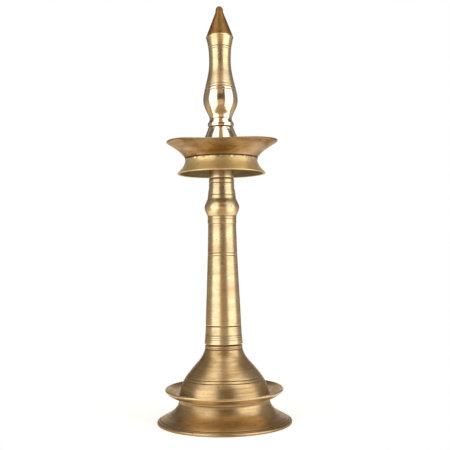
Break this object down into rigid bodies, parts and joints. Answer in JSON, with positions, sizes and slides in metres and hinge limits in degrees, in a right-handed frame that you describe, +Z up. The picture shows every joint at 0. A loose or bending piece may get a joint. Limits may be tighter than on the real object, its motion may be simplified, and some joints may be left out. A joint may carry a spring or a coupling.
{
  "type": "standing oil lamp",
  "caption": "Turned brass standing oil lamp that screws apart: flared foot, bell with drip saucer, tapering column, trumpet-shaped oil pan and pointed finial.",
  "frame": {"origin": "centre of the foot's underside, on the surface that the lamp stands on", "axes": "+Z up along the lamp's axis, from the foot to the finial; the lamp is round, so X and Y are free, and -Y faces the viewer"},
  "size_m": [0.1226, 0.1226, 0.3829],
  "materials": {
    "aged_brass": "cast and turned, dulled by tarnish",
    "pale_brass": "turned and rubbed bright",
    "packing": "worn washer with a ragged edge"
  },
  "bodies": {
    "base": {"base_foot": "aged_brass", "base_saucer": "aged_brass", "base_bell": "aged_brass", "base_socket": "aged_brass"},
    "base_packing": {"base_packing": "packing"},
    "column": {"column_shaft": "pale_brass", "column_foot_plug": "pale_brass", "column_head": "pale_brass"},
    "dish_packing": {"dish_packing": "packing"},
    "dish": {"dish_hub": "pale_brass", "dish_pan": "aged_brass", "dish_skirt": "aged_brass"},
    "finial_packing": {"finial_packing": "packing"},
    "finial": {"finial": "pale_brass", "finial_stud": "pale_brass"}
  },
  "joints": [
    {"name": "column_lift", "type": "slide", "parent": "base", "child": "base_packing", "axis": [0, 0, 1], "range_m": [0, 0.015]},
    {"name": "column_unscrew", "type": "hinge", "parent": "base_packing", "child": "column", "pos_m": [0, 0, 0], "axis": [0, 0, 1], "range_deg": [0, 2160]},
    {"name": "dish_lift", "type": "slide", "parent": "column", "child": "dish_packing", "axis": [0, 0, 1], "range_m": [0, 0.0125]},
    {"name": "dish_unscrew", "type": "hinge", "parent": "dish_packing", "child": "dish", "pos_m": [0, 0, 0], "axis": [0, 0, 1], "range_deg": [0, 1800]},
    {"name": "finial_lift", "type": "slide", "parent": "dish", "child": "finial_packing", "axis": [0, 0, 1], "range_m": [0, 0.0125]},
    {"name": "finial_unscrew", "type": "hinge", "parent": "finial_packing", "child": "finial", "pos_m": [0, 0, 0], "axis": [0, 0, 1], "range_deg": [0, 1800]}
  ],
  "couplings": [
    {"joint": "column_unscrew", "follows": "column_lift", "rad_per_m": 2513.3},
    {"joint": "dish_unscrew", "follows": "dish_lift", "rad_per_m": 2513.3},
    {"joint": "finial_unscrew", "follows": "finial_lift", "rad_per_m": 2513.3}
  ]
}
